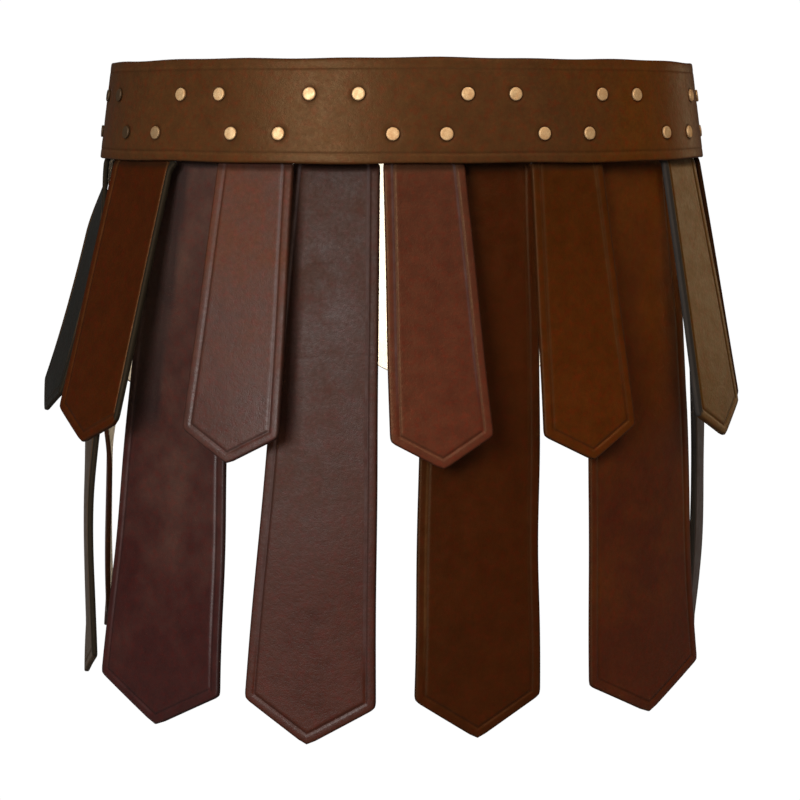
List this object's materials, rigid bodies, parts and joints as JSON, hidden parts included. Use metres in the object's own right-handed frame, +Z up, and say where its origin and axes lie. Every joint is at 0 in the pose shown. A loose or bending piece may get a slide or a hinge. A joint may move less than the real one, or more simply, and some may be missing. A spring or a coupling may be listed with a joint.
{
  "type": "gladiator belt skirt",
  "caption": "Wide riveted leather waist band with short pointed leather strips all round and long ones behind them at the front and sides, buckled at the back.",
  "frame": {"origin": "on the centre line of the waist, level with the band's lower edge", "axes": "+Z up, the front faces -Y, +X to the right of someone who looks at the front"},
  "size_m": [0.4978, 0.4049, 0.4235],
  "materials": {
    "band_leather": "waxed, dark brown, burnished edges",
    "red_leather": "waxed, oxblood brown",
    "chestnut_leather": "waxed, chestnut brown",
    "dark_leather": "waxed, very dark brown",
    "olive_leather": "waxed, olive brown",
    "strap_leather": "waxed, dark brown",
    "copper": "hammered copper, a little dulled",
    "brass": "aged brass wire"
  },
  "bodies": {
    "belt": {"belt_band": "band_leather", "short_strip_top_1": "chestnut_leather", "short_strip_top_2": "chestnut_leather", "short_strip_top_3": "dark_leather", "short_strip_top_4": "chestnut_leather", "short_strip_top_5": "chestnut_leather", "short_strip_top_6": "red_leather", "short_strip_top_7": "chestnut_leather", "short_strip_top_8": "olive_leather", "short_strip_top_9": "chestnut_leather", "short_strip_top_10": "chestnut_leather", "short_strip_top_11": "chestnut_leather", "short_strip_top_12": "chestnut_leather", "long_strip_top_1": "red_leather", "long_strip_top_2": "olive_leather", "long_strip_top_3": "red_leather", "long_strip_top_4": "red_leather", "long_strip_top_5": "dark_leather", "long_strip_top_6": "red_leather", "long_strip_top_7": "dark_leather", "long_strip_top_8": "red_leather", "short_rivets": "copper", "long_rivets": "copper", "short_rivet_burrs": "copper", "long_rivet_burrs": "copper", "closure_strap": "strap_leather", "buckle_fold": "strap_leather", "strap_keeper": "strap_leather", "closure_rivets": "copper", "closure_burrs": "copper"},
    "short_strip_1": {"short_strip_1": "chestnut_leather"},
    "short_strip_2": {"short_strip_2": "chestnut_leather"},
    "long_strip_1": {"long_strip_1": "red_leather"},
    "short_strip_3": {"short_strip_3": "dark_leather"},
    "long_strip_2": {"long_strip_2": "olive_leather"},
    "short_strip_4": {"short_strip_4": "chestnut_leather"},
    "long_strip_3": {"long_strip_3": "red_leather"},
    "short_strip_5": {"short_strip_5": "chestnut_leather"},
    "long_strip_4": {"long_strip_4": "red_leather"},
    "short_strip_6": {"short_strip_6": "red_leather"},
    "long_strip_5": {"long_strip_5": "dark_leather"},
    "short_strip_7": {"short_strip_7": "chestnut_leather"},
    "long_strip_6": {"long_strip_6": "red_leather"},
    "short_strip_8": {"short_strip_8": "olive_leather"},
    "long_strip_7": {"long_strip_7": "dark_leather"},
    "short_strip_9": {"short_strip_9": "chestnut_leather"},
    "long_strip_8": {"long_strip_8": "red_leather"},
    "short_strip_10": {"short_strip_10": "chestnut_leather"},
    "short_strip_11": {"short_strip_11": "chestnut_leather"},
    "short_strip_12": {"short_strip_12": "chestnut_leather"},
    "buckle_frame": {"buckle_frame": "brass"},
    "buckle_tongue": {"buckle_tongue": "brass"}
  },
  "joints": [
    {"name": "short_strip_1_bend", "type": "hinge", "parent": "belt", "child": "short_strip_1", "pos_m": [-0.09381, 0.14246, -0.002], "axis": [0.916, 0.4012, 0], "range_deg": [-10, 75], "stiffness_Nm_per_rad": 0.15, "springref_deg": 1.78},
    {"name": "short_strip_2_bend", "type": "hinge", "parent": "belt", "child": "short_strip_2", "pos_m": [-0.17163, 0.08686, -0.002], "axis": [0.656, 0.7547, 0], "range_deg": [-3.5, 75], "stiffness_Nm_per_rad": 0.15, "springref_deg": 1.78},
    {"name": "long_strip_1_bend", "type": "hinge", "parent": "belt", "child": "long_strip_1", "pos_m": [-0.18879, 0.04377, -0.002], "axis": [0.3502, 0.9367, 0], "range_deg": [-5, 3.5], "stiffness_Nm_per_rad": 0.3, "springref_deg": 2.63},
    {"name": "short_strip_3_bend", "type": "hinge", "parent": "belt", "child": "short_strip_3", "pos_m": [-0.2041, 0, -0.002], "axis": [0, 1, 0], "range_deg": [-8, 75], "stiffness_Nm_per_rad": 0.15, "springref_deg": 2.82},
    {"name": "long_strip_2_bend", "type": "hinge", "parent": "belt", "child": "long_strip_2", "pos_m": [-0.19057, -0.03866, -0.002], "axis": [-0.3092, 0.951, 0], "range_deg": [-5, 9], "stiffness_Nm_per_rad": 0.3, "springref_deg": 2.63},
    {"name": "short_strip_4_bend", "type": "hinge", "parent": "belt", "child": "short_strip_4", "pos_m": [-0.17131, -0.08722, -0.002], "axis": [-0.6587, 0.7524, 0], "range_deg": [-6.5, 75], "stiffness_Nm_per_rad": 0.15, "springref_deg": 3.4},
    {"name": "long_strip_3_bend", "type": "hinge", "parent": "belt", "child": "long_strip_3", "pos_m": [-0.13899, -0.10702, -0.002], "axis": [-0.7894, 0.6139, 0], "range_deg": [-5, 1], "stiffness_Nm_per_rad": 0.3, "springref_deg": 5.08},
    {"name": "short_strip_5_bend", "type": "hinge", "parent": "belt", "child": "short_strip_5", "pos_m": [-0.09781, -0.14066, -0.002], "axis": [-0.9083, 0.4183, 0], "range_deg": [-1, 75], "stiffness_Nm_per_rad": 0.15, "springref_deg": 2.17},
    {"name": "long_strip_4_bend", "type": "hinge", "parent": "belt", "child": "long_strip_4", "pos_m": [-0.04825, -0.1495, -0.002], "axis": [-0.977, 0.2131, 0], "range_deg": [-5, 2.5], "stiffness_Nm_per_rad": 0.3, "springref_deg": 3.76},
    {"name": "short_strip_6_bend", "type": "hinge", "parent": "belt", "child": "short_strip_6", "pos_m": [0.00536, -0.16204, -0.002], "axis": [-0.9997, -0.0229, 0], "range_deg": [-3.5, 75], "stiffness_Nm_per_rad": 0.15, "springref_deg": 1.75},
    {"name": "long_strip_5_bend", "type": "hinge", "parent": "belt", "child": "long_strip_5", "pos_m": [0.04038, -0.15107, -0.002], "axis": [-0.984, -0.1784, 0], "range_deg": [-5, 3.5], "stiffness_Nm_per_rad": 0.3, "springref_deg": 2.64},
    {"name": "short_strip_7_bend", "type": "hinge", "parent": "belt", "child": "short_strip_7", "pos_m": [0.09559, -0.14167, -0.002], "axis": [-0.9126, -0.4089, 0], "range_deg": [-0.5, 75], "stiffness_Nm_per_rad": 0.15, "springref_deg": 1.66},
    {"name": "long_strip_6_bend", "type": "hinge", "parent": "belt", "child": "long_strip_6", "pos_m": [0.14121, -0.10526, -0.002], "axis": [-0.7816, -0.6237, 0], "range_deg": [-5, 0.5], "stiffness_Nm_per_rad": 0.3, "springref_deg": 3.79},
    {"name": "short_strip_8_bend", "type": "hinge", "parent": "belt", "child": "short_strip_8", "pos_m": [0.17934, -0.0771, -0.002], "axis": [-0.5823, -0.813, 0], "range_deg": [-5, 75], "stiffness_Nm_per_rad": 0.15, "springref_deg": 2.21},
    {"name": "long_strip_7_bend", "type": "hinge", "parent": "belt", "child": "long_strip_7", "pos_m": [0.19, -0.04037, -0.002], "axis": [-0.323, -0.9464, 0], "range_deg": [-5, 7.5], "stiffness_Nm_per_rad": 0.3, "springref_deg": 1.1},
    {"name": "short_strip_9_bend", "type": "hinge", "parent": "belt", "child": "short_strip_9", "pos_m": [0.2041, 0, -0.002], "axis": [0, -1, 0], "range_deg": [-7, 75], "stiffness_Nm_per_rad": 0.15, "springref_deg": 1.95},
    {"name": "long_strip_8_bend", "type": "hinge", "parent": "belt", "child": "long_strip_8", "pos_m": [0.18879, 0.04377, -0.002], "axis": [0.3502, -0.9367, 0], "range_deg": [-5, 8.5], "stiffness_Nm_per_rad": 0.3, "springref_deg": 0.22},
    {"name": "short_strip_10_bend", "type": "hinge", "parent": "belt", "child": "short_strip_10", "pos_m": [0.17163, 0.08686, -0.002], "axis": [0.656, -0.7547, 0], "range_deg": [-8, 75], "stiffness_Nm_per_rad": 0.15, "springref_deg": 1.78},
    {"name": "short_strip_11_bend", "type": "hinge", "parent": "belt", "child": "short_strip_11", "pos_m": [0.09381, 0.14246, -0.002], "axis": [0.916, -0.4012, 0], "range_deg": [-10, 75], "stiffness_Nm_per_rad": 0.15, "springref_deg": 1.78},
    {"name": "short_strip_12_bend", "type": "hinge", "parent": "belt", "child": "short_strip_12", "pos_m": [0, 0.1621, -0.002], "axis": [1, 0, 0], "range_deg": [-10, 75], "stiffness_Nm_per_rad": 0.15, "springref_deg": 1.78},
    {"name": "buckle_frame_hinge", "type": "hinge", "parent": "belt", "child": "buckle_frame", "pos_m": [0.01763, 0.16611, 0.03028], "axis": [-0.0109, -0.1474, 0.989], "range_deg": [0, 30]},
    {"name": "buckle_tongue_hinge", "type": "hinge", "parent": "buckle_frame", "child": "buckle_tongue", "pos_m": [0.01763, 0.16611, 0.03028], "axis": [-0.0109, -0.1474, 0.989], "range_deg": [0, 25]}
  ]
}
